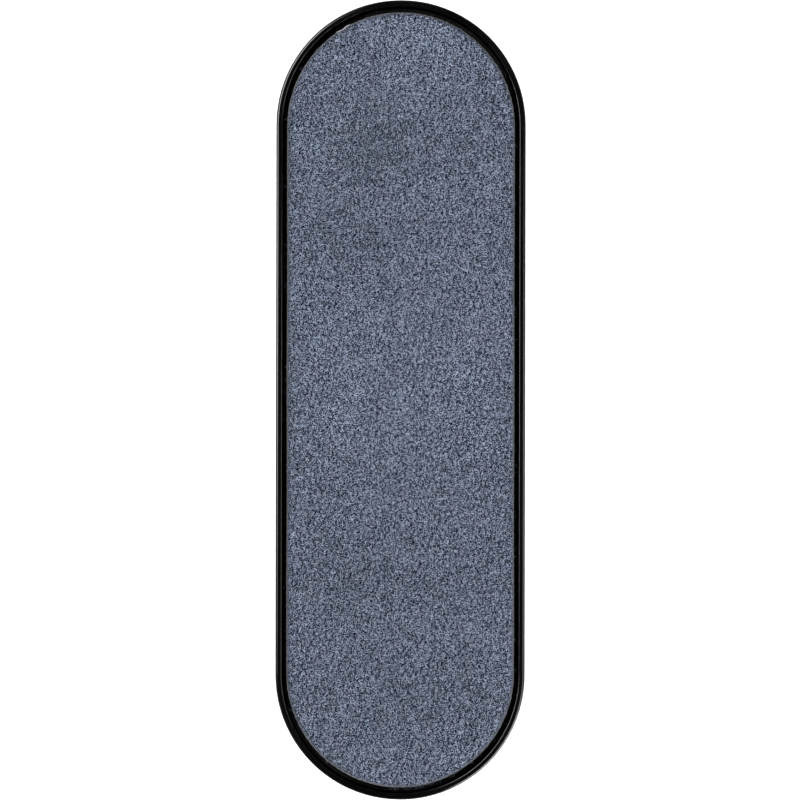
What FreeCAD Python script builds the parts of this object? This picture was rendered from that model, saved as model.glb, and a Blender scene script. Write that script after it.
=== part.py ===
import FreeCAD, Part
import os

import Sketcher

# Chalkboard eraser, lying on its grip with the wiping face up.
#
# Frame: millimetres, +Z up and out of the wiping face, X across, Y along. The origin is the middle of the
# grip's flat back, which the eraser rests on. Every outline seen from above is a stadium, two straight
# sides joined by half circles. The housing is one section carried round a stadium, and the layers of the
# pad are stadiums with upright sides.
#
# From the back to the face: housing, pad_plate pressed into it on six pegs, plate_adhesive, foam_core,
# pad_adhesive, pad_backing and pad_pile.

DIMENSIONS = (
    # the whole eraser
    ("overall_width", 50.0),
    ("overall_length", 160.2),
    ("rim_height", 28.2),
    # the housing's outer section
    ("rim_outer_round", 0.5),
    ("band_foot", 18.0),
    ("shoulder_radius", 4.0),
    ("waist_radius", 10.0),
    ("grip_width", 35.6),
    ("grip_edge_round", 3.0),
    # fine lines moulded into the waist for the fingers
    ("grip_line_radius", 0.45),
    ("grip_line_first", 8.0),
    ("grip_line_step", 13.0),
    ("grip_line_count", 4),
    # the housing's inner section
    ("wall", 2.0),
    ("rim_wall", 1.3),
    ("rim_inner_round", 0.2),
    ("seat_height", 19.4),
    ("seat_width", 2.1),
    ("floor_round", 2.0),
    # the shallow line that frames the middle of the back
    ("back_line_inset", 4.0),
    ("back_line_width", 0.8),
    ("back_line_depth", 0.4),
    # sockets and stiffening ribs inside the housing
    ("socket_radius", 4.0),
    ("socket_top", 17.4),
    ("socket_side", 8.5),
    ("socket_row", 48.0),
    ("socket_row_count", 3),
    ("rib_thickness", 1.4),
    ("cross_rib_top", 8.5),
    ("long_rib_top", 6.0),
    # the plate that carries the pad
    ("plate_gap", 0.12),
    ("plate_floor", 1.8),
    ("lip_wall", 1.0),
    ("lip_top", 25.0),
    ("lip_round", 0.2),
    ("peg_radius", 2.5),
    ("peg_clearance", 0.06),
    ("peg_length", 10.0),
    ("peg_chamfer", 0.6),
    ("plate_rib_depth", 1.4),
    ("plate_rib_side", 16.0),
    # the pad
    ("pad_width", 45.6),
    ("pad_length", 155.2),
    ("foam_inset", 0.5),
    ("adhesive_inset", 0.3),
    ("adhesive_thickness", 0.15),
    ("foam_thickness", 5.5),
    ("backing_thickness", 0.6),
    ("pile_inset", 0.25),
    ("pile_thickness", 2.4),
    ("pile_edge_round", 0.5),
)

SHEET = "dims"

# Expressions that several pieces share
HALF_WIDTH = "dims.overall_width / 2"
HALF_STRAIGHT = "(dims.overall_length - dims.overall_width) / 2"
GRIP_HALF = "dims.grip_width / 2"
WAIST_X = "(dims.grip_width / 2 + dims.waist_radius)"
SHOULDER_X = "(dims.overall_width / 2 - dims.shoulder_radius)"
WAIST_Z = (
    "(dims.band_foot - sqrt((dims.waist_radius + dims.shoulder_radius) ^ 2"
    f" - ({WAIST_X} - {SHOULDER_X}) ^ 2))"
)
POCKET_HALF = "(dims.overall_width / 2 - dims.rim_wall)"
SEAT_HALF = "(dims.overall_width / 2 - dims.rim_wall - dims.seat_width)"
PLATE_HALF = "(dims.overall_width / 2 - dims.rim_wall - dims.plate_gap)"
ROOT_Z = "(dims.wall / 2)"  # sockets and ribs start inside the floor, so that they join it
PLATE_TRAY_Z = "(dims.seat_height + dims.plate_floor)"
FOAM_Z = "(dims.seat_height + dims.plate_floor + dims.adhesive_thickness)"
PAD_ADHESIVE_Z = f"({FOAM_Z} + dims.foam_thickness)"
BACKING_Z = f"({PAD_ADHESIVE_Z} + dims.adhesive_thickness)"
PILE_Z = f"({BACKING_Z} + dims.backing_thickness)"

VERTICAL_AXIS = -2
HORIZONTAL_AXIS = -1
ORIGIN_POINT = (-1, 1)
START, END, CENTRE = 1, 2, 3
QUARTER_TURN = 90
EDGE_TOLERANCE = 0.01
MM3_PER_CM3 = 1000
UP = FreeCAD.Vector(0, 0, 1)


# ---------------------------------------------------------------- document and sketches


def make_sheet(doc):
    """Keep every driving dimension in one spreadsheet."""
    sheet = doc.addObject("Spreadsheet::Sheet", SHEET)
    for row, (name, value) in enumerate(DIMENSIONS, start=1):
        sheet.set(f"A{row}", name)
        sheet.set(f"B{row}", str(value))
        sheet.setAlias(f"B{row}", name)
    doc.recompute()


def make_body(doc, name):
    body = doc.addObject("PartDesign::Body", name)
    body.Label = name
    return body


def origin_plane(body, role):
    return next(item for item in body.Origin.OriginFeatures if item.Role == role)


def make_sketch(body, name, role, offset="0"):
    """A sketch on one of the body's own origin planes, moved along that plane's normal by offset."""
    sketch = body.newObject("Sketcher::SketchObject", name)
    sketch.AttachmentSupport = (origin_plane(body, role), [""])
    sketch.MapMode = "FlatFace"
    sketch.setExpression(".AttachmentOffset.Base.z", offset)
    return sketch


def bind(sketch, constraint, expression):
    """Add a sized constraint and let the sheet drive it."""
    sketch.setExpression(f"Constraints[{sketch.addConstraint(constraint)}]", expression)


def place(sketch, geometry, position, x, z):
    """Hold a point of the geometry at the expressions x and z, measured from the sketch's origin."""
    point = (geometry, position)
    for kind, expression, axis in (("DistanceX", x, VERTICAL_AXIS), ("DistanceY", z, HORIZONTAL_AXIS)):
        value = sketch.evalExpression(expression)
        if abs(value) < EDGE_TOLERANCE:
            sketch.addConstraint(Sketcher.Constraint("PointOnObject", *point, axis))
        else:
            bind(sketch, Sketcher.Constraint(kind, *ORIGIN_POINT, *point, value), expression)


def arc_between(start, end, radius, turn):
    """The short arc from start to end, with its centre on the left (turn 1) or right (turn -1)."""
    chord = end - start
    height = (radius**2 - chord.Length**2 / 4) ** 0.5
    middle = (start + end) / 2
    centre = middle + UP.cross(chord).normalize() * height * turn
    ends = (start, end) if turn > 0 else (end, start)
    angles = [(point - centre).getAngle(FreeCAD.Vector(1, 0, 0)) for point in ends]
    angles = [angle if point.y >= centre.y else -angle for angle, point in zip(angles, ends)]
    return Part.ArcOfCircle(Part.Circle(centre, UP, radius), *angles)


def draw_outline(sketch, start, steps):
    """Draw a closed outline of lines and arcs, with every corner and radius bound to the sheet.

    start is a corner (x, z). Each step is (x, z) for a line to that corner, or (x, z, radius, turn) for
    an arc to it. The last step comes back to start.
    """
    here = FreeCAD.Vector(*[sketch.evalExpression(value) for value in start], 0)
    drawn = []
    for x, z, *bend in steps:
        there = FreeCAD.Vector(sketch.evalExpression(x), sketch.evalExpression(z), 0)
        if bend:
            radius, turn = bend
            shape = arc_between(here, there, sketch.evalExpression(radius), turn)
            index = sketch.addGeometry(shape)
            first, last = (START, END) if turn > 0 else (END, START)
            drawn.append((index, first, last, radius, x, z))
        else:
            index = sketch.addGeometry(Part.LineSegment(here, there))
            drawn.append((index, START, END, None, x, z))
        here = there
    for number, (index, first, last, radius, x, z) in enumerate(drawn):
        previous = drawn[number - 1]
        sketch.addConstraint(Sketcher.Constraint("Coincident", previous[0], previous[2], index, first))
        place(sketch, index, last, x, z)
        if radius:
            value = sketch.evalExpression(radius)
            bind(sketch, Sketcher.Constraint("Radius", index, value), radius)


def draw_circle(sketch, x, z, radius):
    """Draw a circle with its centre and radius bound to the sheet, and give its number."""
    size = sketch.evalExpression(radius)
    centre = FreeCAD.Vector(sketch.evalExpression(x), sketch.evalExpression(z), 0)
    index = sketch.addGeometry(Part.Circle(centre, UP, size))
    place(sketch, index, CENTRE, x, z)
    bind(sketch, Sketcher.Constraint("Radius", index, size), radius)
    return index


def draw_circle_pair(sketch, x, z, radius):
    """Draw a circle and its twin on the other side of the vertical axis."""
    right = draw_circle(sketch, x, z, radius)
    size = sketch.evalExpression(radius)
    centre = FreeCAD.Vector(-sketch.evalExpression(x), sketch.evalExpression(z), 0)
    left = sketch.addGeometry(Part.Circle(centre, UP, size))
    sketch.addConstraint(Sketcher.Constraint("Equal", right, left))
    sketch.addConstraint(Sketcher.Constraint("Symmetric", right, CENTRE, left, CENTRE, VERTICAL_AXIS))


def draw_stadium(sketch, half_width, half_straight):
    """Draw two straight sides joined by half circles, centred on the sketch's origin."""
    radius = sketch.evalExpression(half_width)
    reach = sketch.evalExpression(half_straight)
    corner = {}
    for x_sign in (1, -1):
        for y_sign in (1, -1):
            corner[x_sign, y_sign] = FreeCAD.Vector(x_sign * radius, y_sign * reach, 0)
    right = sketch.addGeometry(Part.LineSegment(corner[1, -1], corner[1, 1]))
    left = sketch.addGeometry(Part.LineSegment(corner[-1, 1], corner[-1, -1]))
    crown = {1: FreeCAD.Vector(0, reach + radius, 0), -1: FreeCAD.Vector(0, -reach - radius, 0)}
    top = sketch.addGeometry(Part.Arc(corner[1, 1], crown[1], corner[-1, 1]))
    bottom = sketch.addGeometry(Part.Arc(corner[-1, -1], crown[-1], corner[1, -1]))
    for first, second in ((right, top), (top, left), (left, bottom), (bottom, right)):
        sketch.addConstraint(Sketcher.Constraint("Tangent", first, END, second, START))
    sketch.addConstraint(Sketcher.Constraint("Vertical", right))
    sketch.addConstraint(Sketcher.Constraint("PointOnObject", top, CENTRE, VERTICAL_AXIS))
    sketch.addConstraint(
        Sketcher.Constraint("Symmetric", top, CENTRE, bottom, CENTRE, *ORIGIN_POINT)
    )
    bind(sketch, Sketcher.Constraint("Radius", top, radius), half_width)
    bind(sketch, Sketcher.Constraint("DistanceY", *ORIGIN_POINT, top, CENTRE, reach), half_straight)


def draw_rectangle(sketch, half_x, half_y, centre_x="0"):
    """Draw an upright rectangle centred on the horizontal axis at centre_x."""
    low_x = f"{centre_x} - {half_x}"
    high_x = f"{centre_x} + {half_x}"
    corners = ((low_x, f"-{half_y}"), (high_x, f"-{half_y}"), (high_x, half_y), (low_x, half_y))
    draw_outline(sketch, corners[0], corners[1:] + corners[:1])


# ---------------------------------------------------------------- features


def extrude(body, sketch, length, kind="Pad", flip=False):
    """Pad or pocket a sketch by length.

    A pad goes along the sketch's normal and a pocket goes against it. flip turns either one round.
    """
    feature = body.newObject(f"PartDesign::{kind}", f"{sketch.Name}_{kind.lower()}")
    feature.Profile = sketch
    feature.Reversed = flip
    feature.setExpression("Length", length)
    sketch.Visibility = False
    return feature


def carry_round_quarter(body, name, draw, cut=False):
    """Carry a half section along one quarter of the stadium: half a straight side, then half an end.

    draw draws the section on a sketch whose axes are the eraser's X and Z.
    """
    side = make_sketch(body, f"{name}_side", "XZ_Plane")
    draw(side)
    extrude(body, side, HALF_STRAIGHT, "Pocket" if cut else "Pad", flip=not cut)
    end = make_sketch(body, f"{name}_end", "XZ_Plane", f"-{HALF_STRAIGHT}")
    draw(end)
    turned = body.newObject("PartDesign::Groove" if cut else "PartDesign::Revolution", f"{name}_turned")
    turned.Profile = end
    turned.ReferenceAxis = (end, ["V_Axis"])
    turned.Angle = QUARTER_TURN
    end.Visibility = False


def mirror_quarter(body, name):
    """Make a whole solid from the quarter that has positive X and Y."""
    for role in ("XZ_Plane", "YZ_Plane"):
        mirrored = body.newObject("PartDesign::Mirrored", f"{name}_mirrored_{role[:2].lower()}")
        mirrored.TransformMode = "Whole shape"
        mirrored.MirrorPlane = (origin_plane(body, role), [""])
        body.Tip = mirrored


def repeat_rows(body, feature, sketch):
    """Repeat a feature at each row of sockets, from the far row back along the eraser."""
    pattern = body.newObject("PartDesign::LinearPattern", f"{feature.Name}_rows")
    pattern.Originals = [feature]
    pattern.Direction = (sketch, ["V_Axis"])
    pattern.Reversed = True
    pattern.setExpression("Length", "dims.socket_row * (dims.socket_row_count - 1)")
    pattern.setExpression("Occurrences", "dims.socket_row_count")
    body.Tip = pattern


def edge_names(shape, wanted):
    """Names of the edges of a shape that the test wanted accepts."""
    return [f"Edge{number}" for number, edge in enumerate(shape.Edges, start=1) if wanted(edge)]


def dress_edges(body, kind, size_name, size, wanted):
    """Round or chamfer the edges of the body's present shape that the test wanted accepts."""
    body.Document.recompute()
    base = body.Tip
    feature = body.newObject(f"PartDesign::{kind}", f"{body.Name}_{kind.lower()}")
    feature.Base = (base, edge_names(base.Shape, wanted))
    feature.setExpression(size_name, size)
    return feature


def lies_at(edge, height):
    """True for an edge that lies flat at this height."""
    box = edge.BoundBox
    return abs(box.ZMin - height) < EDGE_TOLERANCE and abs(box.ZMax - height) < EDGE_TOLERANCE


# ---------------------------------------------------------------- housing


def draw_hull_section(sketch):
    """Outer half section: flat back, grip wall, waist, shoulder, upright band and rounded rim."""
    join = "dims.shoulder_radius / (dims.waist_radius + dims.shoulder_radius)"
    join_x = f"{SHOULDER_X} + ({WAIST_X} - {SHOULDER_X}) * {join}"
    join_z = f"dims.band_foot - (dims.band_foot - {WAIST_Z}) * {join}"
    steps = (
        (f"{GRIP_HALF} - dims.grip_edge_round", "0"),
        (GRIP_HALF, "dims.grip_edge_round", "dims.grip_edge_round", 1),
        (GRIP_HALF, WAIST_Z),
        (join_x, join_z, "dims.waist_radius", -1),
        (HALF_WIDTH, "dims.band_foot", "dims.shoulder_radius", 1),
        (HALF_WIDTH, "dims.rim_height - dims.rim_outer_round"),
        (f"{HALF_WIDTH} - dims.rim_outer_round", "dims.rim_height", "dims.rim_outer_round", 1),
        ("0", "dims.rim_height"),
        ("0", "0"),
    )
    draw_outline(sketch, ("0", "0"), steps)


def draw_grip_lines(sketch):
    """Small round grooves set along the waist, each centred on its surface."""
    for number in range(int(sketch.evalExpression("dims.grip_line_count"))):
        angle = f"(dims.grip_line_first + {number} * dims.grip_line_step)"
        draw_circle(
            sketch,
            f"{WAIST_X} - dims.waist_radius * cos({angle})",
            f"{WAIST_Z} + dims.waist_radius * sin({angle})",
            "dims.grip_line_radius",
        )


def draw_cavity_section(sketch):
    """Inner half section: the hollow grip, the seat for the plate, and the pocket inside the rim."""
    inner_half = f"({GRIP_HALF} - dims.wall)"
    seat_foot = f"{WAIST_Z} + sqrt((dims.waist_radius + dims.wall) ^ 2 - ({WAIST_X} - {SEAT_HALF}) ^ 2)"
    above_rim = "dims.rim_height + dims.wall"
    steps = (
        (f"{inner_half} - dims.floor_round", "dims.wall"),
        (inner_half, "dims.wall + dims.floor_round", "dims.floor_round", 1),
        (inner_half, WAIST_Z),
        (SEAT_HALF, seat_foot, "dims.waist_radius + dims.wall", -1),
        (SEAT_HALF, "dims.seat_height"),
        (POCKET_HALF, "dims.seat_height"),
        (POCKET_HALF, "dims.rim_height - dims.rim_inner_round"),
        (f"{POCKET_HALF} + dims.rim_inner_round", "dims.rim_height", "dims.rim_inner_round", -1),
        (f"{POCKET_HALF} + dims.rim_inner_round", above_rim),
        ("0", above_rim),
        ("0", "dims.wall"),
    )
    draw_outline(sketch, ("0", "dims.wall"), steps)


def add_sockets(body):
    """Tubes that rise from the floor to hold the plate's pegs, with cross ribs and a long rib."""
    tubes = make_sketch(body, "sockets", "XY_Plane", ROOT_Z)
    draw_circle_pair(tubes, "dims.socket_side", "dims.socket_row", "dims.socket_radius")
    raised = extrude(body, tubes, f"dims.socket_top - {ROOT_Z}")
    repeat_rows(body, raised, tubes)

    cross = make_sketch(body, "cross_rib", "XY_Plane", ROOT_Z)
    reach = f"({GRIP_HALF} - dims.wall / 2)"
    low = "dims.socket_row - dims.rib_thickness / 2"
    high = "dims.socket_row + dims.rib_thickness / 2"
    corners = ((f"-{reach}", low), (reach, low), (reach, high), (f"-{reach}", high))
    draw_outline(cross, corners[0], corners[1:] + corners[:1])
    raised = extrude(body, cross, f"dims.cross_rib_top - {ROOT_Z}")
    repeat_rows(body, raised, cross)

    spine = make_sketch(body, "long_rib", "XY_Plane", ROOT_Z)
    draw_rectangle(spine, "dims.rib_thickness / 2", "dims.socket_row")
    extrude(body, spine, f"dims.long_rib_top - {ROOT_Z}")

    bores = make_sketch(body, "socket_bores", "XY_Plane", "dims.socket_top")
    bore = "dims.peg_radius + dims.peg_clearance"
    draw_circle_pair(bores, "dims.socket_side", "dims.socket_row", bore)
    drilled = extrude(body, bores, "dims.socket_top - dims.wall", "Pocket")
    repeat_rows(body, drilled, bores)


def add_back_line(body):
    """A shallow line cut into the flat back, following its outline."""
    line = make_sketch(body, "back_line", "XY_Plane")
    outer = f"({GRIP_HALF} - dims.back_line_inset)"
    draw_stadium(line, outer, HALF_STRAIGHT)
    draw_stadium(line, f"({outer} - dims.back_line_width)", HALF_STRAIGHT)
    extrude(body, line, "dims.back_line_depth", "Pocket", flip=True)


def make_housing(doc):
    body = make_body(doc, "housing")
    carry_round_quarter(body, "hull", draw_hull_section)
    carry_round_quarter(body, "grip_lines", draw_grip_lines, cut=True)
    carry_round_quarter(body, "cavity", draw_cavity_section, cut=True)
    mirror_quarter(body, "housing")
    add_sockets(body)
    add_back_line(body)
    return body


# ---------------------------------------------------------------- plate and pad


def make_plate(doc):
    """A shallow tray inside the rim, with six pegs and two stiffening ribs underneath."""
    body = make_body(doc, "pad_plate")
    outline = make_sketch(body, "plate_outline", "XY_Plane", "dims.seat_height")
    draw_stadium(outline, PLATE_HALF, HALF_STRAIGHT)
    extrude(body, outline, "dims.lip_top - dims.seat_height")

    tray = make_sketch(body, "plate_tray", "XY_Plane", "dims.lip_top")
    draw_stadium(tray, f"({PLATE_HALF} - dims.lip_wall)", HALF_STRAIGHT)
    extrude(body, tray, f"dims.lip_top - {PLATE_TRAY_Z}", "Pocket")

    lip_top = tray.evalExpression("dims.lip_top")
    dress_edges(body, "Fillet", "Radius", "dims.lip_round", lambda edge: lies_at(edge, lip_top))

    for name, centre_x in (("right", "dims.plate_rib_side"), ("left", "-dims.plate_rib_side")):
        rib = make_sketch(body, f"plate_rib_{name}", "XY_Plane", "dims.seat_height")
        draw_rectangle(rib, "dims.rib_thickness / 2", "dims.socket_row", centre_x)
        extrude(body, rib, "dims.plate_rib_depth", flip=True)

    pegs = make_sketch(body, "pegs", "XY_Plane", "dims.seat_height")
    draw_circle_pair(pegs, "dims.socket_side", "dims.socket_row", "dims.peg_radius")
    lowered = extrude(body, pegs, "dims.peg_length", flip=True)
    repeat_rows(body, lowered, pegs)

    peg_foot = pegs.evalExpression("dims.seat_height - dims.peg_length")
    dress_edges(body, "Chamfer", "Size", "dims.peg_chamfer", lambda edge: lies_at(edge, peg_foot))
    return body


def make_layer(doc, name, height, thickness, inset="0", top_round=None):
    """One flat layer of the pad, its edge inset from the cloth's, with its top edge rounded if asked."""
    body = make_body(doc, name)
    outline = make_sketch(body, f"{name}_outline", "XY_Plane", height)
    draw_stadium(outline, f"(dims.pad_width / 2 - {inset})", "(dims.pad_length - dims.pad_width) / 2")
    extrude(body, outline, thickness)
    if top_round:
        top = outline.evalExpression(f"{height} + {thickness}")
        dress_edges(body, "Fillet", "Radius", top_round, lambda edge: lies_at(edge, top))
    return body


def make_pad(doc):
    adhesive_inset = "(dims.foam_inset + dims.adhesive_inset)"
    return [
        make_layer(doc, "plate_adhesive", PLATE_TRAY_Z, "dims.adhesive_thickness", adhesive_inset),
        make_layer(doc, "foam_core", FOAM_Z, "dims.foam_thickness", "dims.foam_inset"),
        make_layer(doc, "pad_adhesive", PAD_ADHESIVE_Z, "dims.adhesive_thickness", adhesive_inset),
        make_layer(doc, "pad_backing", BACKING_Z, "dims.backing_thickness"),
        make_layer(
            doc, "pad_pile", PILE_Z, "dims.pile_thickness", "dims.pile_inset", "dims.pile_edge_round"
        ),
    ]


# ---------------------------------------------------------------- checks and files


def check_document(doc, pieces):
    """Stop if any object failed to compute or any piece isn't one sound solid."""
    for item in doc.Objects:
        if {"Invalid", "Error"} & set(item.State):
            raise RuntimeError(f"{item.Name} failed: {item.State}")
    for piece in pieces:
        shape = piece.Shape
        if shape.isNull() or not shape.isValid() or len(shape.Solids) != 1:
            raise RuntimeError(f"{piece.Label} is not one sound solid")


def write_steps(pieces):
    os.makedirs("parts", exist_ok=True)
    for piece in pieces:
        piece.Shape.exportStep(f"parts/{piece.Label}.step")
        box = piece.Shape.optimalBoundingBox(True, False)
        print(
            f"{piece.Label}: {piece.Shape.Volume / MM3_PER_CM3:.2f} cm3,"
            f" {box.XLength:.2f} x {box.YLength:.2f} x {box.ZLength:.2f} mm, from z {box.ZMin:.2f}"
        )


def main():
    doc = FreeCAD.newDocument("chalkboard_eraser")
    make_sheet(doc)
    pieces = [make_housing(doc), make_plate(doc), *make_pad(doc)]
    doc.recompute()
    check_document(doc, pieces)
    write_steps(pieces)


main()
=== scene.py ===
import math

import bmesh
import bpy
import numpy as np
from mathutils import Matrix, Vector
from mathutils.geometry import delaunay_2d_cdt
from mathutils.kdtree import KDTree


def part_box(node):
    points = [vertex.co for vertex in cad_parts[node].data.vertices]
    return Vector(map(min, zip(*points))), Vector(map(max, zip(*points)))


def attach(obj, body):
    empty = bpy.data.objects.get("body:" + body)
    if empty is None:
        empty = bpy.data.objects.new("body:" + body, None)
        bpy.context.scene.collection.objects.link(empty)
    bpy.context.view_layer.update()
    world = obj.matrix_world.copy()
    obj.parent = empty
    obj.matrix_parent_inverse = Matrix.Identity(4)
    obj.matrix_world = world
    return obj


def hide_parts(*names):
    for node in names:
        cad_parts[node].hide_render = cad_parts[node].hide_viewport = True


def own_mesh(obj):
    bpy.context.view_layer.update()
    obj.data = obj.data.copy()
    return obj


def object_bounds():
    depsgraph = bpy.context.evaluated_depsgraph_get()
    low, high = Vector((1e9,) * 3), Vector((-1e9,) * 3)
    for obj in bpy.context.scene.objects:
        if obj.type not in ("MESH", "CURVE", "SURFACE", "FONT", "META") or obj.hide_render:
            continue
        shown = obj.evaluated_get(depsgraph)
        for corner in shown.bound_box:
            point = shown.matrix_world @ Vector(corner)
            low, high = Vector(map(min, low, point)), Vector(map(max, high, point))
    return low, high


# A chalkboard eraser lying on its grip, seen from straight above its wiping face.
#
# The housing, the plate and the two adhesive sheets are the frame's own nodes with new materials. The
# foam, the cloth's backing and its pile are modelled here. The pile is real relief draped over the pad's
# top and sides: tufts, each split into strands, with narrow cracks between them, painted shade in the
# cracks and a painted highlight on the tops. Short curls of yarn and loose fibres lie on it, and one pale
# thread, its pale colour a painted glint, is caught on its edge.

MM = 0.001
SEED = 7

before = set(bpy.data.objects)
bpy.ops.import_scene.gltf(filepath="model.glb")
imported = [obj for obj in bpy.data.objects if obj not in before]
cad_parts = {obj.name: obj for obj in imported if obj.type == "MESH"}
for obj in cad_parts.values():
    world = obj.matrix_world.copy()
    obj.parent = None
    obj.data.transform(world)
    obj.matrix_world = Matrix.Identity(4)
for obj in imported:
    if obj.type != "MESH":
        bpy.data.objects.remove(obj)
cad_low, cad_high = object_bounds()
rng = np.random.default_rng(SEED)

# ---------------------------------------------------------------- sizes, from the frame

PILE_LOW, PILE_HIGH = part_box("pad_pile")
BACKING_LOW, BACKING_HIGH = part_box("pad_backing")
FOAM_LOW, FOAM_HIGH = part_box("foam_core")
RIM_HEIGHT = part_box("housing")[1].z

PILE_HALF = PILE_HIGH.x
PILE_REACH = PILE_HIGH.y - PILE_HIGH.x  # from the middle to the centre of each round end
EDGE_ROUND = 0.5 * MM

# ---------------------------------------------------------------- meshes


def add_mesh(name, points, faces, smooth=True):
    """A mesh object from arrays of points and faces."""
    mesh = bpy.data.meshes.new(name)
    mesh.from_pydata(np.asarray(points).tolist(), [], [list(face) for face in faces])
    if smooth:
        mesh.shade_smooth()
    piece = bpy.data.objects.new(name, mesh)
    bpy.context.scene.collection.objects.link(piece)
    return piece


def add_attribute(piece, name, values):
    """Store one number for each point, for the material to read."""
    layer = piece.data.attributes.new(name, "FLOAT", "POINT")
    layer.data.foreach_set("value", np.asarray(values, dtype=np.float32))


def stadium_frame(across, along, reach):
    """Distance of each point from the stadium's middle line, and the outward direction there."""
    foot = np.clip(along, -reach, reach)
    offset = np.stack([across, along - foot], axis=-1)
    distance = np.linalg.norm(offset, axis=-1)
    outward = offset / np.maximum(distance, 1e-9)[..., None]
    return foot, distance, outward


PILE_FLAT = PILE_HALF - EDGE_ROUND  # where the top starts to turn down
PILE_TURN = EDGE_ROUND * math.pi / 2  # cloth used by the rounded edge
PILE_WALL = PILE_HIGH.z - PILE_LOW.z - EDGE_ROUND  # cloth used by the upright side
PILE_OUTER = PILE_FLAT + PILE_TURN + PILE_WALL


def drape(across, along, lift):
    """Lay flat cloth over the pad: flat on top, turned over the edge and down the side.

    lift is the height above the cloth's face, along its normal.
    """
    foot, distance, outward = stadium_frame(across, along, PILE_REACH)
    turn = np.clip((distance - PILE_FLAT) / EDGE_ROUND, 0, math.pi / 2)
    down = np.clip(distance - PILE_FLAT - PILE_TURN, 0, None)
    radius = np.minimum(distance, PILE_FLAT) + (EDGE_ROUND + lift) * np.sin(turn)
    height = PILE_HIGH.z - EDGE_ROUND + (EDGE_ROUND + lift) * np.cos(turn) - down
    flat = distance <= PILE_FLAT
    height = np.where(flat, PILE_HIGH.z + lift, height)
    return np.stack([outward[..., 0] * radius, foot + outward[..., 1] * radius, height], axis=-1)


# ---------------------------------------------------------------- pile

TUFT_STEP = (1.15 * MM, 1.40 * MM)  # spacing of the tufts of yarn
STRAND_STEP = (0.65 * MM, 0.85 * MM)  # spacing of the strands that each tuft splits into
STRAND_DEPTH = 0.42  # depth of the cracks between strands beside those between tufts
GROUND_STEP = (0.30 * MM, 0.37 * MM)  # spacing of the relief's own points
JITTER = 0.6  # how far a point is moved off its lattice, in steps
RELAX_PASSES = 3
ROW_STEP = math.sqrt(3) / 2  # rows of a lattice of even triangles
SPARE_ROWS = 3  # lattice rows and columns past the cloth's edge
BORDER_STEP = 0.3 * MM
CRACK_WIDTH = 0.20 * MM  # half a crack: across from its bottom to its edge
CRACK_DEPTH = 0.8 * MM  # of the deepest crack, below the tufts' tops
CRACK_WANDER = 0.04 * MM  # how far a crack strays to each side
CRACK_UNEVENNESS = 0.35  # how much shallower one crack may be than the next
SHALLOW_CRACK = 0.35  # depth of a crack across the pad beside one along it
JOINED_SHARE = 0.10  # neighbours that run together
TUFT_DROP = 0.12 * MM  # the tufts' tops are this far below the cloth's face

CURL_STEP = (0.30 * MM, 0.42 * MM)  # spacing of the curls before the low ones are left out
CURL_CLEARANCE = 0.70  # curls grow only where the relief is higher than this
CURL_LENGTH = (0.26 * MM, 0.54 * MM)
CURL_RADIUS = (0.05 * MM, 0.09 * MM)
CURL_LEAN = 0.5  # how far their headings spread about the pad's length
CURL_TURN = (0.6, 3.0)  # how far each one bends
CURL_LIFT = (-0.12 * MM, 0.10 * MM)  # above the relief
CURL_ARCH = 0.2 * MM  # the ends are this far below the middle
CURL_TAPER = np.array([0.6, 1.0, 1.0, 0.6])  # thickness of each point from end to end
CURL_SHADE = np.array([0.8, 1.0, 1.0, 0.8])  # painted shade: tone of each point, darker at the buried ends
CURL_SIDES = 3
CURL_PIECES = 8
DEEP_SHADE = 0.05  # painted shade: tone of a curl in the deepest crack
HEIGHT_SHADE = 0.76  # painted highlight: how much paler a curl on top of the relief is
TONE_SPREAD = 0.03
EDGE_SHADE = 0.45  # painted shade: how much darker the curls are on the side of the pad
EDGE_SHADE_WIDTH = 0.6 * MM


def triangulate(points):
    """The triangles between neighbouring points of the flat cloth."""
    return np.array(delaunay_2d_cdt([Vector(point) for point in points], [], [], 0, 1e-6)[2])


def scatter(step_across, step_along):
    """Points spread over the draped cloth at random but evenly, a step apart in each direction."""
    step = np.array([step_across, step_along])
    columns = int(PILE_OUTER / step_across) + SPARE_ROWS
    rows = int((PILE_REACH + PILE_OUTER) / step_along / ROW_STEP) + SPARE_ROWS
    column, row = np.meshgrid(np.arange(-columns, columns + 1), np.arange(-rows, rows + 1))
    across = column + 0.5 * (row % 2) + rng.uniform(-JITTER, JITTER, column.shape)
    along = row * ROW_STEP + rng.uniform(-JITTER, JITTER, column.shape)
    points = np.stack([across.ravel(), along.ravel()], axis=1)
    for _ in range(RELAX_PASSES):
        triangles = triangulate(points)
        start = triangles.ravel()
        end = np.roll(triangles, -1, axis=1).ravel()
        neighbours = np.bincount(start, minlength=len(points))
        total = np.stack([np.bincount(start, points[end, axis], len(points)) for axis in (0, 1)], axis=1)
        points = total / np.maximum(neighbours, 1)[:, None]
    points *= step
    _, distance, _ = stadium_frame(points[:, 0], points[:, 1], PILE_REACH)
    return points[distance < PILE_OUTER - step_across / 2]


def outline_walk(half, reach, walk):
    """Points and outward directions at distances walk round a stadium, from its right side's foot."""
    straight, bend = 2 * reach, math.pi * half
    starts = np.cumsum([0, straight, bend, straight])
    stretch = np.searchsorted(starts, walk % (2 * straight + 2 * bend), side="right") - 1
    run = walk - starts[stretch]
    right, far, left = (stretch == number for number in range(3))
    turn = np.select([right, far, left], [0 * run, run / half, 0 * run + math.pi], math.pi + run / half)
    foot = np.select([right, far, left], [run - reach, reach, reach - run], -reach)
    out = np.stack([np.cos(turn), np.sin(turn)], axis=1)
    points = out * half
    points[:, 1] += foot
    return points, out


MIX_LOW, MIX_HIGH, MIX_SCALE = 12.9898, 78.233, 43758.5453


def pair_chance(first, second):
    """A number from 0 to 1 that depends only on which two neighbours meet."""
    mixed = np.sin(np.minimum(first, second) * MIX_LOW + np.maximum(first, second) * MIX_HIGH) * MIX_SCALE
    return mixed - np.floor(mixed)


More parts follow.
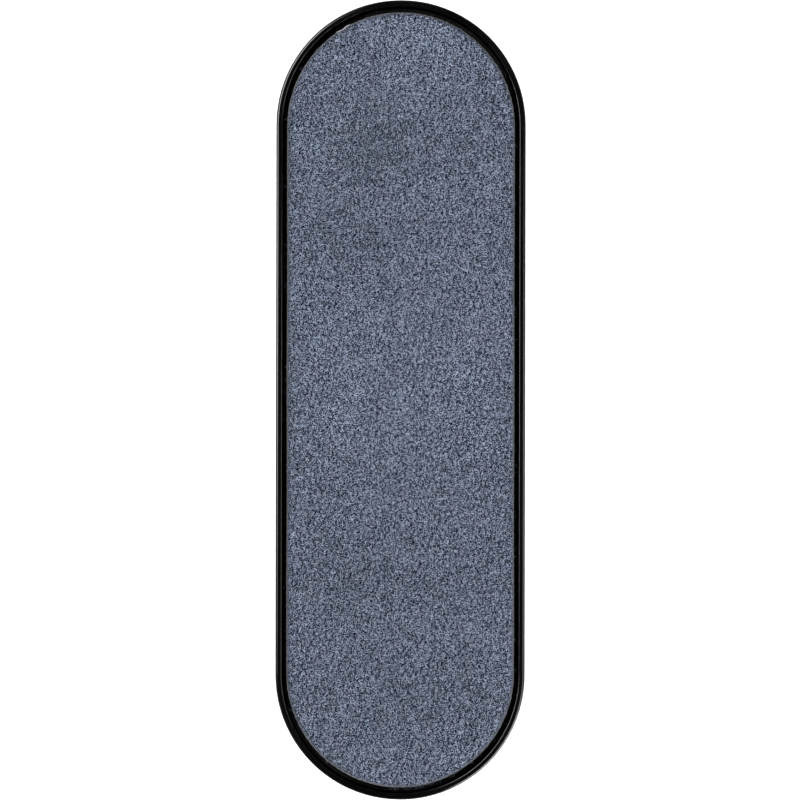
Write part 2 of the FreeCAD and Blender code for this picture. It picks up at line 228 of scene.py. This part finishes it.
class Clumps:
    """Clumps of yarn spread over the cloth, with narrow cracks between neighbours."""

    def __init__(self, step):
        self.roots = scatter(*step)
        self.tree = KDTree(len(self.roots))
        for number, (across, along) in enumerate(self.roots / MM):
            self.tree.insert((across, along, 0), number)
        self.tree.balance()

    def height(self, points):
        """From 0 at the bottom of the deepest crack to 1 on top of a clump."""
        asked = points + rng.normal(0, CRACK_WANDER, points.shape)
        found = [self.tree.find_n((across, along, 0), 3) for across, along in asked / MM]
        near = np.array([[hit[1] for hit in hits] for hits in found])
        own, others = near[:, :1], near[:, 1:]
        first, second = self.roots[own], self.roots[others]
        apart = np.linalg.norm(second - first, axis=2)
        to_first = ((asked[:, None] - first) ** 2).sum(axis=2)
        to_second = ((asked[:, None] - second) ** 2).sum(axis=2)
        to_crack = (to_second - to_first) / (2 * apart)
        chance = pair_chance(own, others)
        upright = np.abs(second - first)[..., 0] / apart
        depth = SHALLOW_CRACK + (1 - SHALLOW_CRACK) * upright * (1 - CRACK_UNEVENNESS * chance)
        depth = np.where(chance < JOINED_SHARE, 0, depth)
        share = np.clip(to_crack / CRACK_WIDTH, 0, 1)
        drop = depth * (1 - share * share * (3 - 2 * share))
        return 1 - drop.max(axis=1)


class Pile:
    """How high the relief is at any point of the flat cloth: tufts, each split into strands."""

    def __init__(self):
        self.tufts = Clumps(TUFT_STEP)
        self.strands = Clumps(STRAND_STEP)

    def height(self, points):
        """From 0 at the bottom of the deepest crack to 1 on top of a strand."""
        return self.tufts.height(points) * (1 - STRAND_DEPTH * (1 - self.strands.height(points)))


def make_ground(pile):
    """The pile's relief: tufts with narrow cracks between them, closed underneath."""
    inner = scatter(*GROUND_STEP)
    perimeter = 4 * PILE_REACH + 2 * math.pi * PILE_OUTER
    border, _ = outline_walk(PILE_OUTER, PILE_REACH, np.arange(0, perimeter, BORDER_STEP))
    height = np.concatenate([pile.height(inner), np.ones(len(border))])
    points = np.concatenate([inner, border])
    triangles = triangulate(points / MM)
    lift = (height - 1) * CRACK_DEPTH - TUFT_DROP
    lift[len(inner):] = 0
    placed = drape(points[:, 0], points[:, 1], lift)
    placed[len(inner):, 2] = PILE_LOW.z  # the border is the cloth's level lower edge
    ground = add_mesh("pile_ground", placed, triangles)
    close_bottom(ground)
    # The relief's height, kept for the painted shade in the cracks and the painted highlight on the tops
    add_attribute(ground, "shade_tone", height)
    return ground


def close_bottom(piece):
    """Fill the open loop under a piece, so that it is a closed solid."""
    shape = bmesh.new()
    shape.from_mesh(piece.data)
    rim = [side for side in shape.edges if side.is_boundary]
    bmesh.ops.edgeloop_fill(shape, edges=rim)
    bmesh.ops.recalc_face_normals(shape, faces=shape.faces)
    shape.to_mesh(piece.data)
    shape.free()


def strand_mesh(name, paths, radii, sides=3):
    """Thin tapered tubes along many paths at once.

    paths is (strands, points, 3) and radii is (strands, points).
    """
    strands, steps, _ = paths.shape
    along = np.gradient(paths, axis=1)
    along /= np.linalg.norm(along, axis=2, keepdims=True)
    side = np.cross(along, [0.0, 0.0, 1.0])
    side /= np.maximum(np.linalg.norm(side, axis=2, keepdims=True), 1e-6)
    other = np.cross(side, along)
    ring = (np.arange(sides) + 0.5) * 2 * math.pi / sides
    spokes = side[:, :, None, :] * np.cos(ring)[:, None] + other[:, :, None, :] * np.sin(ring)[:, None]
    points = paths[:, :, None, :] + spokes * radii[..., None, None]
    base = np.arange(strands * steps * sides).reshape(strands, steps, sides)
    low, high = base[:, :-1], base[:, 1:]
    low_next, high_next = np.roll(low, -1, axis=2), np.roll(high, -1, axis=2)
    walls = np.stack([low, low_next, high_next, high], axis=-1).reshape(-1, 4)
    caps = np.concatenate([base[:, 0, ::-1], base[:, -1]])
    return add_mesh(name, points.reshape(-1, 3), walls.tolist() + caps.tolist())


def random_stadium(count, outer):
    """Points spread evenly over a stadium of this half width, in the cloth's flat coordinates."""
    across = rng.uniform(-outer, outer, count * 2)
    along = rng.uniform(-PILE_REACH - outer, PILE_REACH + outer, count * 2)
    _, distance, _ = stadium_frame(across, along, PILE_REACH)
    keep = np.flatnonzero(distance < outer)[:count]
    return across[keep], along[keep]


def make_curls(pile):
    """Short thick arcs of yarn over the tufts, both ends buried, in pieces of moderate size, with painted
    shade on those low in the cracks and on the pad's side.
    """
    root = scatter(*CURL_STEP)
    height = pile.height(root)
    clear = height > CURL_CLEARANCE
    root, height = root[clear], height[clear]
    count = len(root)
    across, along = root.T
    _, distance, _ = stadium_frame(across, along, PILE_REACH)

    length = rng.uniform(*CURL_LENGTH, count)
    heading = rng.normal(math.pi / 2, CURL_LEAN, count)
    turn = rng.uniform(*CURL_TURN, count) * rng.choice([-1, 1], count)
    share = np.linspace(0, 1, len(CURL_TAPER))
    angle = heading[:, None] + turn[:, None] * (share - 0.5)
    step = length[:, None] / (len(CURL_TAPER) - 1)
    x = np.cumsum(np.cos(angle) * step, axis=1)
    y = np.cumsum(np.sin(angle) * step, axis=1)
    x = across[:, None] + x - x.mean(axis=1, keepdims=True)
    y = along[:, None] + y - y.mean(axis=1, keepdims=True)
    crown = (height - 1) * CRACK_DEPTH - TUFT_DROP + rng.uniform(*CURL_LIFT, count)
    lift = crown[:, None] - (2 * share - 1) ** 2 * CURL_ARCH
    paths = drape(x, y, lift)
    radii = rng.uniform(*CURL_RADIUS, count)[:, None] * CURL_TAPER
    # Painted shade: curls low in the relief darker, those on the tops paler
    shade_and_tone = DEEP_SHADE + HEIGHT_SHADE * height + rng.normal(0, TONE_SPREAD, count)
    # Painted shade on the pad's side
    shade_and_tone *= 1 - EDGE_SHADE * np.clip((distance - PILE_FLAT) / EDGE_SHADE_WIDTH, 0, 1)

    pieces = []
    for number, chosen in enumerate(np.array_split(rng.permutation(count), CURL_PIECES), start=1):
        curls = strand_mesh(f"pile_curls_{number}", paths[chosen], radii[chosen], CURL_SIDES)
        shade = shade_and_tone[chosen][:, None, None] * CURL_SHADE[:, None] * np.ones(CURL_SIDES)
        add_attribute(curls, "shade_tone", shade.ravel())
        pieces.append(curls)
    return pieces


FIBRE_STEPS = 7
FIBRE_RADIUS = 0.016 * MM
FIBRE_TAPER = 0.6  # how much thinner the far end is
FIBRE_TONE = 1.1  # paler than any curl

LYING_COUNT = 1000
LYING_MARGIN = 0.6 * MM  # they start at least this far from the cloth's lower border
LYING_LENGTH = (1.2 * MM, 3.2 * MM)
LYING_TURN = 3.5  # how far they curl, at most
LYING_ARCH = (0.05 * MM, 0.4 * MM)
LYING_SINK = 0.05 * MM  # their ends are this far below the cloth's face

STANDING_COUNT = 260
STANDING_REACH = 0.45 * MM
EXTRA_REACH = 0.8 * MM  # more for the longest of them
STANDING_ROOT = 0.3 * MM  # they start this far inside the pad's edge
STANDING_BOW = (1.5, 3.0)  # how far each one bends over, in radians
STANDING_SLIDE = 0.7 * MM  # along the edge
STANDING_LEVEL = (0.5 * MM, 1.9 * MM)  # above the cloth's lower border
STANDING_ARCH = 0.25 * MM
FUZZY_SHARE = 0.2  # standing fibres that crowd the near end
FUZZY_SPREAD = 3.5 * MM
FUZZY_SHIFT = 3.0 * MM  # from the near end's middle towards the right side


def lying_fibres(share):
    """Paths of fibres that lie curled on the cloth and don't hang past its lower border."""
    across, along = random_stadium(LYING_COUNT, PILE_OUTER - LYING_MARGIN)
    count = len(across)
    length = rng.uniform(*LYING_LENGTH, count)
    heading = rng.uniform(0, 2 * math.pi, count)
    turn = rng.uniform(-LYING_TURN, LYING_TURN, count)
    angle = heading[:, None] + turn[:, None] * share
    step = length[:, None] / (FIBRE_STEPS - 1)
    x = across[:, None] + np.cumsum(np.cos(angle) * step, axis=1)
    y = along[:, None] + np.cumsum(np.sin(angle) * step, axis=1)
    _, distance, _ = stadium_frame(x, y, PILE_REACH)
    arch = rng.uniform(*LYING_ARCH, count)
    lift = arch[:, None] * np.sin(share * math.pi) - LYING_SINK
    return drape(x, y, lift)[distance.max(axis=1) < PILE_OUTER]


def standing_fibres(share):
    """Paths of fibres that stand out past the pad's edge, many of them at its near end."""
    perimeter = 4 * PILE_REACH + 2 * math.pi * PILE_HALF
    near_end = perimeter - math.pi * PILE_HALF / 2 + FUZZY_SHIFT
    place = np.where(
        rng.random(STANDING_COUNT) < FUZZY_SHARE,
        rng.normal(near_end, FUZZY_SPREAD, STANDING_COUNT),
        rng.uniform(0, perimeter, STANDING_COUNT),
    )
    root, out = outline_walk(PILE_HALF, PILE_REACH, place % perimeter)
    tangent = np.stack([-out[:, 1], out[:, 0]], axis=1)
    reach = STANDING_REACH + EXTRA_REACH * rng.random(STANDING_COUNT) ** 3
    bow = np.sin(share * rng.uniform(*STANDING_BOW, STANDING_COUNT)[:, None])
    outward = reach[:, None] * bow - STANDING_ROOT
    slide = rng.normal(0, STANDING_SLIDE, STANDING_COUNT)[:, None] * share**1.5
    flat = root[:, None] + out[:, None] * outward[..., None] + tangent[:, None] * slide[..., None]
    level = PILE_LOW.z + rng.uniform(*STANDING_LEVEL, STANDING_COUNT)
    height = level[:, None] + STANDING_ARCH * np.sin(share * math.pi)
    return np.concatenate([flat, height[..., None]], axis=2)


def make_fibres():
    """Loose fibres: some lie curled on the face, some stand out past the pad's edge."""
    share = np.linspace(0, 1, FIBRE_STEPS)
    paths = np.concatenate([lying_fibres(share), standing_fibres(share)])
    radii = np.broadcast_to(FIBRE_RADIUS * (1 - FIBRE_TAPER * share), (len(paths), FIBRE_STEPS))
    fibres = strand_mesh("loose_fibres", paths, radii)
    add_attribute(fibres, "shade_tone", np.full(len(fibres.data.vertices), FIBRE_TONE))
    return fibres


THREAD_AT = 157.2 * MM  # distance round the pad's edge from the foot of its right side
THREAD_LENGTH = 3.2 * MM
THREAD_RADIUS = 0.045 * MM
THREAD_STEPS = 14
THREAD_SIDES = 6
THREAD_OUT = 0.05 * MM  # off the pad's edge
THREAD_WAVE = 0.12 * MM
THREAD_BENDS = 2.6
THREAD_DROP = 0.55 * MM  # its ends are this far below the wiping face
THREAD_ARCH = 0.15 * MM


def make_thread():
    """One pale thread caught on the pad's edge near its far end, its pale colour a painted glint."""
    share = np.linspace(0, 1, THREAD_STEPS)
    walk = THREAD_AT + (share - 0.5) * THREAD_LENGTH
    foot, out = outline_walk(PILE_HALF, PILE_REACH, walk)
    flat = foot + out * (THREAD_OUT + THREAD_WAVE * np.sin(share * THREAD_BENDS * math.pi))[:, None]
    height = PILE_HIGH.z - THREAD_DROP + THREAD_ARCH * np.sin(share * math.pi)
    path = np.column_stack([flat, height])
    radii = THREAD_RADIUS * (1 - 0.5 * np.abs(2 * share - 1) ** 3)
    return strand_mesh("glint_thread", path[None], radii[None], THREAD_SIDES)


# ---------------------------------------------------------------- backing and foam


OUTLINE_STEPS = 900


def slab(name, half, reach, levels, edge_wave):
    """A closed stadium slab. levels are (height, how far the edge is pulled in) from the bottom up.

    edge_wave gives the edge's own unevenness from the distance round it.
    """
    perimeter = 4 * reach + 2 * math.pi * half
    walk = np.arange(OUTLINE_STEPS) * perimeter / OUTLINE_STEPS
    edge, out = outline_walk(half, reach, walk)
    rings = []
    for height, inset in levels:
        moved = edge + out * (edge_wave(walk, height) - inset)[:, None]
        rings.append(np.column_stack([moved, np.full(OUTLINE_STEPS, height)]))
    points = np.concatenate(rings)
    faces = []
    here = np.arange(OUTLINE_STEPS)
    following = (here + 1) % OUTLINE_STEPS
    for start in range(0, (len(levels) - 1) * OUTLINE_STEPS, OUTLINE_STEPS):
        above = start + OUTLINE_STEPS
        faces += np.stack([start + here, start + following, above + following, above + here], 1).tolist()
    faces.append(here[::-1].tolist())
    faces.append((above + here).tolist())
    return add_mesh(name, points, faces)


KNIT_LOOP = 0.55 * MM
KNIT_SCALLOP = 0.05 * MM
KNIT_WAVE = 0.03 * MM
KNIT_WAVE_RUN = 7 * MM  # round the edge for each radian of the wave
# Share of the thickness and how far the edge is pulled in there
KNIT_INSETS = ((0.0, 0.08 * MM), (0.15, 0.0), (0.5, 0.03 * MM), (0.85, 0.0), (1.0, 0.08 * MM))

FOAM_LEVELS = 9
FOAM_PIT = 0.035 * MM  # typical depth of the pits
FOAM_HOLLOW = 0.22 * MM  # how far the cut side is drawn in at half height


def make_backing():
    """The knitted backing, its cut edge slightly scalloped by the loops."""
    low, high = BACKING_LOW.z, BACKING_HIGH.z

    def wave(walk, height):
        scallop = KNIT_SCALLOP * (np.abs(np.sin(walk * math.pi / KNIT_LOOP)) - 1)
        return scallop + KNIT_WAVE * np.sin(walk / KNIT_WAVE_RUN)

    levels = [(low + share * (high - low), inset) for share, inset in KNIT_INSETS]
    half = BACKING_HIGH.x
    return slab("backing_cloth", half, BACKING_HIGH.y - half, levels, wave)


def make_foam():
    """The foam, its cut side a little hollow and pitted by open cells."""
    low, high = FOAM_LOW.z, FOAM_HIGH.z
    last = FOAM_LEVELS - 1
    pits = rng.normal(0, FOAM_PIT, (FOAM_LEVELS, OUTLINE_STEPS))

    def wave(walk, height):
        level = round((height - low) / (high - low) * last)
        return pits[level] * (0 < level < last)

    shares = [number / last for number in range(FOAM_LEVELS)]
    levels = [(low + share * (high - low), FOAM_HOLLOW * math.sin(math.pi * share)) for share in shares]
    half = FOAM_HIGH.x
    return slab("foam_pad", half, FOAM_HIGH.y - half, levels, wave)


# ---------------------------------------------------------------- materials


class Nodes:
    """Short calls for building one material's nodes."""

    def __init__(self, name):
        self.material = bpy.data.materials.new(name)
        self.material.use_nodes = True
        self.tree = self.material.node_tree
        self.shader = self.tree.nodes["Principled BSDF"]
        coordinates = self.add("ShaderNodeTexCoord")
        self.place = coordinates.outputs["Object"]

    def add(self, kind, links=None, **settings):
        node = self.tree.nodes.new(kind)
        for key, value in settings.items():
            setattr(node, key, value)
        for socket, value in (links or {}).items():
            self.feed(node.inputs[socket], value)
        return node

    def feed(self, socket, value):
        if isinstance(value, bpy.types.NodeSocket):
            self.tree.links.new(value, socket)
        else:
            socket.default_value = value

    def set(self, **values):
        for name, value in values.items():
            self.feed(self.shader.inputs[name.replace("_", " ")], value)

    def maths(self, operation, *values):
        node = self.add("ShaderNodeMath", operation=operation)
        for socket, value in zip(node.inputs, values):
            self.feed(socket, value)
        return node.outputs[0]

    def stretched(self, scale):
        """Places on the piece, scaled along each axis, for a noise drawn out one way."""
        return self.add("ShaderNodeMapping", {"Vector": self.place, "Scale": scale}).outputs[0]

    def noise(self, scale, detail=3.0, roughness=0.5, vector=None):
        links = {"Vector": vector or self.place, "Scale": scale, "Detail": detail, "Roughness": roughness}
        return self.add("ShaderNodeTexNoise", links).outputs["Fac"]

    def spread(self, value, low, high, out_low=0.0, out_high=1.0):
        links = {"Value": value, "From Min": low, "From Max": high, "To Min": out_low, "To Max": out_high}
        return self.add("ShaderNodeMapRange", links).outputs["Result"]

    def vary(self, noise, low, high):
        """A noise's usual range carried over to low and high."""
        return self.spread(noise, 0.3, 0.7, low, high)

    def mix(self, factor, first, second, blend="MIX"):
        node = self.add("ShaderNodeMix", data_type="RGBA", blend_type=blend)
        for socket, value in zip((node.inputs[0], node.inputs[6], node.inputs[7]), (factor, first, second)):
            self.feed(socket, value)
        return node.outputs[2]

    def bump(self, height, depth, strength=1.0):
        links = {"Height": height, "Distance": depth, "Strength": strength}
        return self.add("ShaderNodeBump", links).outputs["Normal"]


def colour(red, green, blue):
    return (red, green, blue, 1.0)


def gloss_black(name, roughness):
    """Polished black moulding: flow ripple, rubbed scratches, dust specks and a film where it is held."""
    nodes = Nodes(name)
    ripple = nodes.noise(260.0, 2.0)
    scratches = nodes.noise(900.0, 2.0, 0.6, nodes.stretched((1.0, 0.06, 1.0)))
    rubbed = nodes.spread(nodes.noise(70.0, 4.0), 0.35, 0.7)
    grain = nodes.add("ShaderNodeTexVoronoi", {"Vector": nodes.place, "Scale": 420.0})
    pick = nodes.add("ShaderNodeSeparateColor", {"Color": grain.outputs["Color"]}).outputs[0]
    small = nodes.maths("LESS_THAN", grain.outputs["Distance"], nodes.maths("MULTIPLY", pick, 0.08))
    speck = nodes.maths("MULTIPLY", nodes.maths("GREATER_THAN", pick, 0.93), small)

    height = nodes.add("ShaderNodeSeparateXYZ", {"Vector": nodes.place}).outputs["Z"]
    held = nodes.spread(height, RIM_HEIGHT - 2 * MM, RIM_HEIGHT - 8 * MM)
    cloud = nodes.spread(nodes.noise(120.0, 5.0, 0.65), 0.42, 0.72)
    film = nodes.maths("MULTIPLY", held, cloud)

    bare = nodes.mix(rubbed, colour(0.0012, 0.0012, 0.0013), colour(0.0022, 0.0022, 0.0023))
    filmed = nodes.mix(film, bare, colour(0.013, 0.013, 0.0135))
    worn = nodes.maths("MULTIPLY_ADD", rubbed, 0.06, roughness)
    worn = nodes.maths("MULTIPLY_ADD", nodes.spread(scratches, 0.55, 0.75), 0.05, worn)
    worn = nodes.maths("MULTIPLY_ADD", film, 0.16, worn)
    worn = nodes.maths("MULTIPLY_ADD", speck, 0.5, worn)
    nodes.set(
        Base_Color=nodes.mix(speck, filmed, colour(0.16, 0.16, 0.155)),
        Roughness=worn,
        IOR=1.5,
        Normal=nodes.bump(nodes.maths("MULTIPLY_ADD", scratches, 0.25, ripple), 0.004 * MM),
    )
    return nodes.material


# Painted shade in the pile's cracks, the yarn's own colour, and a painted highlight on its tops
GAP_SHADE_COLOUR = colour(0.005, 0.007, 0.016)
YARN_COLOUR = colour(0.060, 0.075, 0.108)
TIP_HIGHLIGHT_COLOUR = colour(0.211, 0.247, 0.315)

# Painted light and shade where handling has laid the pile over: centre across and along, half size across
# and along, and tone
LEAN_SHADE_PATCHES = (
    (0.004, 0.072, 0.016, 0.010, 0.15),
    (-0.005, 0.050, 0.011, 0.010, -0.22),
    (-0.008, 0.031, 0.009, 0.011, -0.08),
    (0.011, 0.021, 0.005, 0.006, -0.10),
    (0.003, 0.004, 0.024, 0.020, 0.14),
    (-0.004, -0.036, 0.024, 0.012, -0.13),
    (0.002, -0.058, 0.020, 0.012, -0.12),
)


def pile_material():
    """Blue-grey curly yarn: painted shade in the gaps, painted highlight at the tips, painted light and
    shade where the pile leans.
    """
    nodes = Nodes("pile_yarn")
    # Each point's shade and tone from its piece: painted shade low in the relief, painted highlight on its
    # tops
    shade_tone = nodes.add("ShaderNodeAttribute", attribute_name="shade_tone").outputs["Fac"]
    fibre = nodes.noise(2600.0, 3.0, 0.65)
    fine = nodes.noise(4900.0, 0.0, 0.5, nodes.stretched((1.0, 0.85, 1.0)))
    depth = nodes.maths("ADD", shade_tone, nodes.vary(fibre, -0.15, 0.15))
    depth = nodes.maths("ADD", depth, nodes.vary(fine, -0.95, 0.95))
    # Painted shade up from the cracks to the yarn's colour, then a painted highlight towards the tops
    body = nodes.mix(nodes.spread(depth, 0.27, 0.8), GAP_SHADE_COLOUR, YARN_COLOUR)
    gap_shade_tip_light = nodes.mix(nodes.spread(depth, 0.7, 1.3), body, TIP_HIGHLIGHT_COLOUR)

    # Painted light and shade where the pile leans: a mottle, a streaky lay and patches
    mottle_shade = nodes.vary(nodes.noise(55.0), -0.06, 0.06)
    lay_shade = nodes.noise(160.0, 2.0, 0.5, nodes.stretched((1.0, 0.55, 1.0)))
    shade_and_tone = nodes.maths("ADD", mottle_shade, nodes.vary(lay_shade, -0.015, 0.015))
    where = nodes.add("ShaderNodeSeparateXYZ", {"Vector": nodes.place})
    for across, along, half_x, half_y, strength in LEAN_SHADE_PATCHES:
        x = nodes.maths("DIVIDE", nodes.maths("SUBTRACT", where.outputs["X"], across), half_x)
        y = nodes.maths("DIVIDE", nodes.maths("SUBTRACT", where.outputs["Y"], along), half_y)
        square = nodes.maths("ADD", nodes.maths("MULTIPLY", x, x), nodes.maths("MULTIPLY", y, y))
        far = nodes.maths("SQRT", square)
        shade_patch = nodes.add(
            "ShaderNodeMapRange",
            {"Value": far, "From Min": 1.3, "From Max": 0.1, "To Min": 0.0, "To Max": strength},
            interpolation_type="SMOOTHSTEP",
        )
        shade_and_tone = nodes.maths("ADD", shade_and_tone, shade_patch.outputs["Result"])
    tint = nodes.spread(nodes.noise(400.0, 3.0), 0.35, 0.65)
    tinted = nodes.mix(tint, colour(0.975, 1.0, 1.02), colour(1.035, 0.99, 1.0))
    shaded = nodes.mix(1.0, gap_shade_tip_light, tinted, "MULTIPLY")
    level = nodes.maths("ADD", shade_and_tone, 1.0)
    grey = nodes.add("ShaderNodeCombineColor", {"Red": level, "Green": level, "Blue": level}).outputs[0]
    nodes.set(
        Base_Color=nodes.mix(1.0, shaded, grey, "MULTIPLY"),
        Roughness=nodes.vary(fibre, 0.8, 1.0),
        Specular_IOR_Level=0.05,
        Sheen_Weight=0.04,
        Sheen_Roughness=0.5,
        Sheen_Tint=colour(0.75, 0.82, 1.0),
        Normal=nodes.bump(nodes.maths("MULTIPLY_ADD", fine, 0.4, fibre), 0.16 * MM),
    )
    return nodes.material


def glint_thread_material():
    """Pale twisted cotton, its paleness a painted glint."""
    nodes = Nodes("glint_cotton")
    twist = nodes.noise(6000.0, 2.0, 0.6)
    nodes.set(
        # Painted glint: the thread's pale colour
        Base_Color=nodes.mix(twist, colour(0.5, 0.52, 0.56), colour(0.86, 0.87, 0.9)),
        Roughness=nodes.vary(twist, 0.7, 0.9),
        Normal=nodes.bump(twist, 0.03 * MM),
    )
    return nodes.material


def backing_material():
    """Neutral grey knit: fine ribs one way, loops the other."""
    nodes = Nodes("knit_backing")
    wave = {"Vector": nodes.place, "Scale": 290.0, "Distortion": 1.5}
    ribs = nodes.spread(nodes.add("ShaderNodeTexWave", wave).outputs["Fac"], 0.0, 1.0, 0.5, 1.0)
    loops = nodes.noise(2200.0, 3.0, 0.6)
    woven = nodes.maths("MULTIPLY", ribs, nodes.vary(loops, 0.6, 1.1))
    nodes.set(
        Base_Color=nodes.mix(woven, colour(0.04, 0.041, 0.046), colour(0.155, 0.158, 0.17)),
        Roughness=nodes.vary(loops, 0.75, 0.95),
        Specular_IOR_Level=0.25,
        Sheen_Weight=0.1,
        Normal=nodes.bump(woven, 0.08 * MM),
    )
    return nodes.material


def foam_material():
    """Charcoal open-cell foam: round pores in a lighter web, with painted shade in the pores."""
    nodes = Nodes("open_cell_foam")
    cells = nodes.add("ShaderNodeTexVoronoi", {"Vector": nodes.place, "Scale": 2400.0}).outputs["Distance"]
    # Painted shade: the pores darker than the web
    pore_shade = nodes.spread(cells, 0.25, 0.6)
    age = nodes.noise(90.0, 3.0)
    web = nodes.mix(age, colour(0.09, 0.09, 0.095), colour(0.15, 0.15, 0.15))
    nodes.set(
        Base_Color=nodes.mix(pore_shade, colour(0.02, 0.02, 0.022), web),
        Roughness=nodes.vary(age, 0.85, 1.0),
        Specular_IOR_Level=0.2,
        Normal=nodes.bump(pore_shade, 0.12 * MM),
    )
    return nodes.material


def adhesive_material():
    """Double-sided sheet: milky film with a faint waxy mottle."""
    nodes = Nodes("adhesive_film")
    cloud = nodes.noise(420.0, 3.0)
    nodes.set(
        Base_Color=nodes.mix(cloud, colour(0.46, 0.44, 0.37), colour(0.62, 0.60, 0.52)),
        Roughness=nodes.vary(cloud, 0.35, 0.55),
        Normal=nodes.bump(cloud, 0.02 * MM),
    )
    return nodes.material


def floor_material():
    """Even pale floor, lit a little from within so that it stays white behind the dark rim."""
    nodes = Nodes("pale_floor")
    grain = nodes.noise(6.0, 2.0)
    nodes.set(
        Base_Color=nodes.mix(grain, colour(0.79, 0.79, 0.79), colour(0.81, 0.81, 0.81)),
        Roughness=0.9,
        Specular_IOR_Level=0.1,
        Emission_Color=colour(1.0, 1.0, 1.0),
        Emission_Strength=0.7,
    )
    return nodes.material


def dress(piece, material):
    """Put one material on every slot of a piece."""
    if not piece.material_slots:
        piece.data.materials.append(material)
    for place in piece.material_slots:
        place.material = material


# ---------------------------------------------------------------- stage

STUDIO_SIZE = 4.0
LENS = 250.0
SENSOR = 36.0
PHOTO_FILL = 1.0003  # the eraser's length over the picture's height
PHOTO_OFFSET = (-0.11 * MM, -0.02 * MM)  # the camera is this far off the eraser's middle
PHOTO_ROLL = math.radians(-0.11)

# Name, place, width, length and watts. The rim's inner edge reflects the light on the opposite side.
SOFTBOXES = (
    ("left_softbox", (-0.40, 0.21, 0.68), 0.36, 0.58, 8.0),
    ("right_softbox", (0.42, -0.08, 0.68), 0.36, 0.26, 1.4),
    ("low_softbox", (0.52, -0.52, 0.42), 0.6, 0.6, 11.0),
)
# The world's brightness falls from To Min to To Max as the view rises from From Min to From Max
BACKDROP = {"From Min": 0.1, "From Max": 0.3, "To Min": 0.8, "To Max": 0.01}


def add_floor():
    """A square sheet under the eraser and its surroundings."""
    half = STUDIO_SIZE / 2
    corners = [(-half, -half, 0), (half, -half, 0), (half, half, 0), (-half, half, 0)]
    floor = add_mesh("floor", corners, [(0, 1, 2, 3)], smooth=False)
    dress(floor, floor_material())


def add_softbox(name, place, width, length, power):
    """A rectangular light that faces the eraser, its long side level."""
    data = bpy.data.lights.new(name, "AREA")
    data.shape = "RECTANGLE"
    data.size = width
    data.size_y = length
    data.energy = power
    light = bpy.data.objects.new(name, data)
    light.location = place
    x, y, z = place
    light.rotation_euler = (0, math.atan2(math.hypot(x, y), z), math.atan2(y, x))
    bpy.context.scene.collection.objects.link(light)


def add_world():
    """A pale backdrop up to a little over the horizon and darkness above it, where only the lights are."""
    world = bpy.data.worlds.new("studio")
    bpy.context.scene.world = world
    world.use_nodes = True
    tree = world.node_tree
    where = tree.nodes.new("ShaderNodeTexCoord")
    split = tree.nodes.new("ShaderNodeSeparateXYZ")
    tree.links.new(where.outputs["Generated"], split.inputs[0])
    ramp = tree.nodes.new("ShaderNodeMapRange")
    ramp.interpolation_type = "SMOOTHSTEP"
    tree.links.new(split.outputs["Z"], ramp.inputs["Value"])
    for socket, value in BACKDROP.items():
        ramp.inputs[socket].default_value = value
    background = tree.nodes["Background"]
    background.inputs["Color"].default_value = colour(1.0, 1.0, 1.0)
    tree.links.new(ramp.outputs["Result"], background.inputs["Strength"])


def add_camera():
    """The photograph's view: straight down on the wiping face from far off."""
    data = bpy.data.cameras.new("camera")
    data.lens = LENS
    data.sensor_width = SENSOR
    camera = bpy.data.objects.new("camera", data)
    bpy.context.scene.collection.objects.link(camera)
    length = cad_high.y - cad_low.y
    distance = length / PHOTO_FILL / (SENSOR / LENS)
    camera.location = (*PHOTO_OFFSET, RIM_HEIGHT + distance)
    camera.rotation_euler = (0, 0, -PHOTO_ROLL)
    data.clip_end = 10
    bpy.context.scene.camera = camera


# ---------------------------------------------------------------- the eraser


def build():
    dress(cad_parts["housing"], gloss_black("gloss_black_housing", 0.09))
    dress(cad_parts["pad_plate"], gloss_black("black_plate", 0.2))
    film = adhesive_material()
    for name in ("plate_adhesive", "pad_adhesive"):
        dress(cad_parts[name], film)

    yarn = pile_material()
    pile = Pile()
    ground = make_ground(pile)
    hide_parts("pad_pile")
    thread = make_thread()
    pile_pieces = [ground, *make_curls(pile), make_fibres(), thread]
    for piece in pile_pieces:
        dress(piece, glint_thread_material() if piece is thread else yarn)
        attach(piece, "wiping_pad")

    backing = make_backing()
    dress(backing, backing_material())
    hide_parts("pad_backing")
    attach(backing, "wiping_pad")

    foam = make_foam()
    dress(foam, foam_material())
    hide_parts("foam_core")
    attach(foam, "cartridge")
    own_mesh(foam)


build()
add_floor()
add_world()
for softbox in SOFTBOXES:
    add_softbox(*softbox)
add_camera()
bpy.context.scene.view_settings.view_transform = "Standard"
